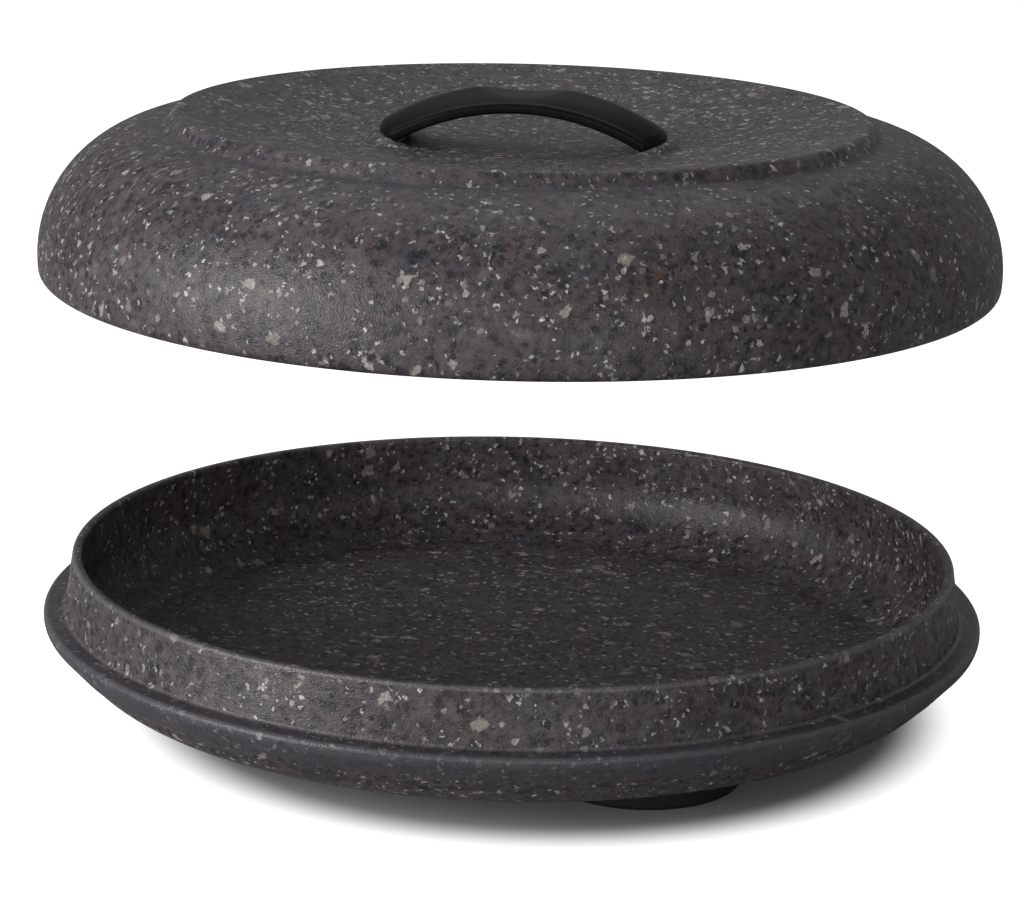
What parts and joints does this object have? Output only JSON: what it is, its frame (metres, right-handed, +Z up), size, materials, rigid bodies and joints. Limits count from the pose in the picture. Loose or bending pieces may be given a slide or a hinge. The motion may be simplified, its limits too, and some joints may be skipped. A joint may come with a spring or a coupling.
{
  "type": "tortilla warmer",
  "caption": "Round lidded warmer: shallow dish with an outer ledge on three low feet, under a domed lid with a strap handle.",
  "frame": {"origin": "on the table under the middle of the dish, at the level of the three feet's soles", "axes": "+Z up, along the dish's and the lid's round axis; +X along the strap handle, towards its right end as pictured; +Y away from the viewer"},
  "size_m": [0.233, 0.233, 0.1512],
  "materials": {
    "speckled_plastic": "satin, charcoal with white, blue-black and brown stone flecks",
    "black_plastic": "smooth satin black",
    "foot_rubber": "matt black"
  },
  "bodies": {
    "base": {"base_dish": "speckled_plastic", "foot_front_right": "foot_rubber", "foot_rear_right": "foot_rubber", "foot_left": "foot_rubber"},
    "lid": {"lid_shell": "speckled_plastic", "handle": "black_plastic", "handle_pin_left": "black_plastic", "handle_pin_right": "black_plastic"}
  },
  "joints": [
    {"name": "lid_lift", "type": "slide", "parent": "base", "child": "lid", "axis": [0, 0, 1], "range_m": [-0.083, 0]}
  ]
}
